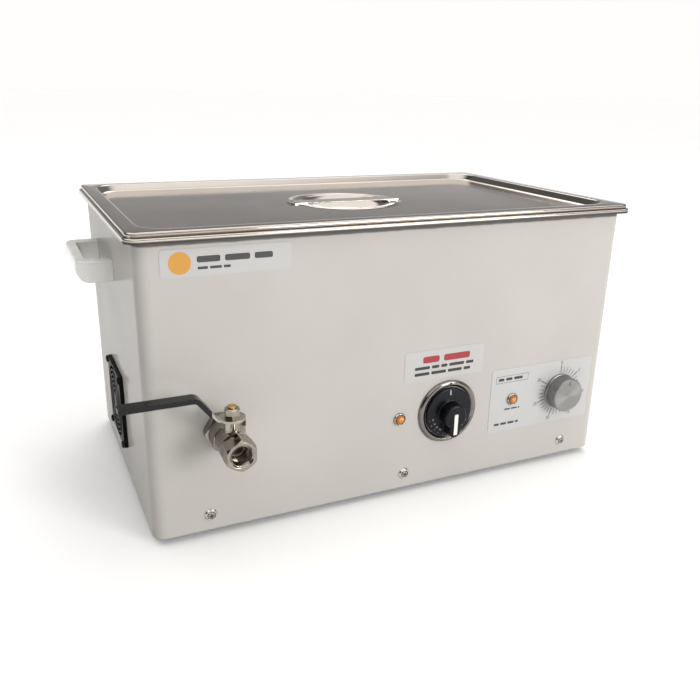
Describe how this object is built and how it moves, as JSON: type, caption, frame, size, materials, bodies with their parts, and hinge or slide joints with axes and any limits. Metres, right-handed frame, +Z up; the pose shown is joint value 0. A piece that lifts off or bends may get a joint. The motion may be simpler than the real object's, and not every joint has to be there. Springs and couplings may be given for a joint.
{
  "type": "ultrasonic cleaner",
  "caption": "Bench-top ultrasonic cleaner: boxed steel tank with lift-off sunk lid, side handles, fan, front drain valve with lever, timer and thermostat.",
  "frame": {"origin": "on the bench, under the middle of the case", "axes": "+X to the right along the front, +Y to the back, +Z up"},
  "size_m": [0.582, 0.378, 0.295],
  "materials": {
    "case_paint": "white gloss powder coat",
    "galvanised": "zinc-coated sheet",
    "bright_zinc": "bright zinc-plated steel",
    "black_rubber": "matt",
    "black_steel": "black oxide steel",
    "stainless": "polished stainless steel",
    "lid_steel": "bright rolled stainless steel",
    "gasket_rubber": "foam rubber",
    "handle_plastic": "white moulded plastic",
    "guard_plastic": "black moulded plastic",
    "fan_plastic": "black moulded plastic",
    "nickel_plate": "nickel-plated brass",
    "bare_brass": "turned brass",
    "seat_polymer": "white fluoropolymer",
    "lever_steel": "plated pressed steel",
    "sleeve_vinyl": "black dipped vinyl",
    "bezel_chrome": "satin chrome",
    "knob_plastic": "black moulded plastic",
    "white_insert": "white plastic",
    "turned_aluminium": "spun face",
    "dark_phenolic": "moulded case",
    "copper": "copper",
    "lamp_amber": "clear amber",
    "lamp_chrome": "bright chrome",
    "lamp_plastic": "white moulded plastic",
    "label_film": "printed film",
    "panel_film": "printed film",
    "horn_aluminium": "turned",
    "piezo_ceramic": "silvered ceramic",
    "back_steel": "turned steel",
    "heater_rubber": "silicone rubber",
    "board_green": "glass-epoxy board",
    "nylon": "natural nylon",
    "sink_aluminium": "extruded",
    "component_grey": "wound core and cans",
    "inlet_black": "black moulded plastic"
  },
  "bodies": {
    "cleaner_base": {"case_shell": "case_paint", "base_tray": "galvanised", "short_screws": "bright_zinc", "cup_washers": "bright_zinc", "small_nuts": "bright_zinc", "rubber_feet": "black_rubber", "tank": "stainless", "rim_gasket": "gasket_rubber", "handle_left": "handle_plastic", "handle_right": "handle_plastic", "handle_screws": "bright_zinc", "fan_guard": "guard_plastic", "fan_screws": "black_steel", "fan_frame": "fan_plastic", "drain_fitting": "stainless", "drain_gasket": "gasket_rubber", "drain_nut": "bare_brass", "drain_elbow": "bare_brass", "drain_pipe": "bare_brass", "drain_wall_nut": "nickel_plate", "drain_lock_nut": "bare_brass", "valve_body": "nickel_plate", "valve_end_cap": "nickel_plate", "valve_seats": "seat_polymer", "thermostat_bezel": "bezel_chrome", "thermostat_body": "dark_phenolic", "sensor_bulb": "copper", "bulb_clips": "stainless", "timer_body": "galvanised", "lamp_bezels": "lamp_chrome", "lamp_lenses": "lamp_amber", "lamp_bodies": "lamp_plastic", "front_labels": "label_film", "control_panel": "panel_film", "transducer_horns": "horn_aluminium", "piezo_rings": "piezo_ceramic", "back_masses": "back_steel", "transducer_bolts": "bright_zinc", "heater_pads": "heater_rubber", "generator_board": "board_green", "board_standoffs": "nylon", "heatsink": "sink_aluminium", "board_components": "component_grey", "inlet_housing": "inlet_black", "inlet_pins": "bare_brass", "inlet_screws": "bright_zinc"},
    "lid_body": {"lid": "lid_steel", "lid_handle_strap": "lid_steel"},
    "valve_handle": {"valve_ball": "nickel_plate", "valve_stem": "bare_brass", "valve_lever": "lever_steel", "lever_sleeve": "sleeve_vinyl", "lever_nut": "nickel_plate"},
    "thermostat_control": {"thermostat_knob": "knob_plastic", "knob_pointer": "white_insert", "thermostat_shaft": "bright_zinc"},
    "timer_control": {"timer_knob": "turned_aluminium", "timer_shaft": "bright_zinc"},
    "fan_spinner": {"fan_rotor": "fan_plastic"},
    "fuse_slide": {"fuse_drawer": "inlet_black"}
  },
  "joints": [
    {"name": "lid_lift", "type": "slide", "parent": "cleaner_base", "child": "lid_body", "axis": [0, 0, 1], "range_m": [0, 0.15]},
    {"name": "drain_lever_turn", "type": "hinge", "parent": "cleaner_base", "child": "valve_handle", "pos_m": [-0.1893, -0.188, 0.1105], "axis": [0, 0, 1], "range_deg": [0, 90]},
    {"name": "thermostat_turn", "type": "hinge", "parent": "cleaner_base", "child": "thermostat_control", "pos_m": [0.0515, -0.16, 0.088], "axis": [0, 1, 0], "range_deg": [0, 240]},
    {"name": "timer_turn", "type": "hinge", "parent": "cleaner_base", "child": "timer_control", "pos_m": [0.1995, -0.16, 0.088], "axis": [0, 1, 0], "range_deg": [0, 300]},
    {"name": "fan_spin", "type": "hinge", "parent": "cleaner_base", "child": "fan_spinner", "pos_m": [-0.245, 0.0105, 0.084], "axis": [1, 0, 0], "continuous": true},
    {"name": "fuse_drawer_pull", "type": "slide", "parent": "cleaner_base", "child": "fuse_slide", "axis": [0, 1, 0], "range_m": [0, 0.012]}
  ]
}
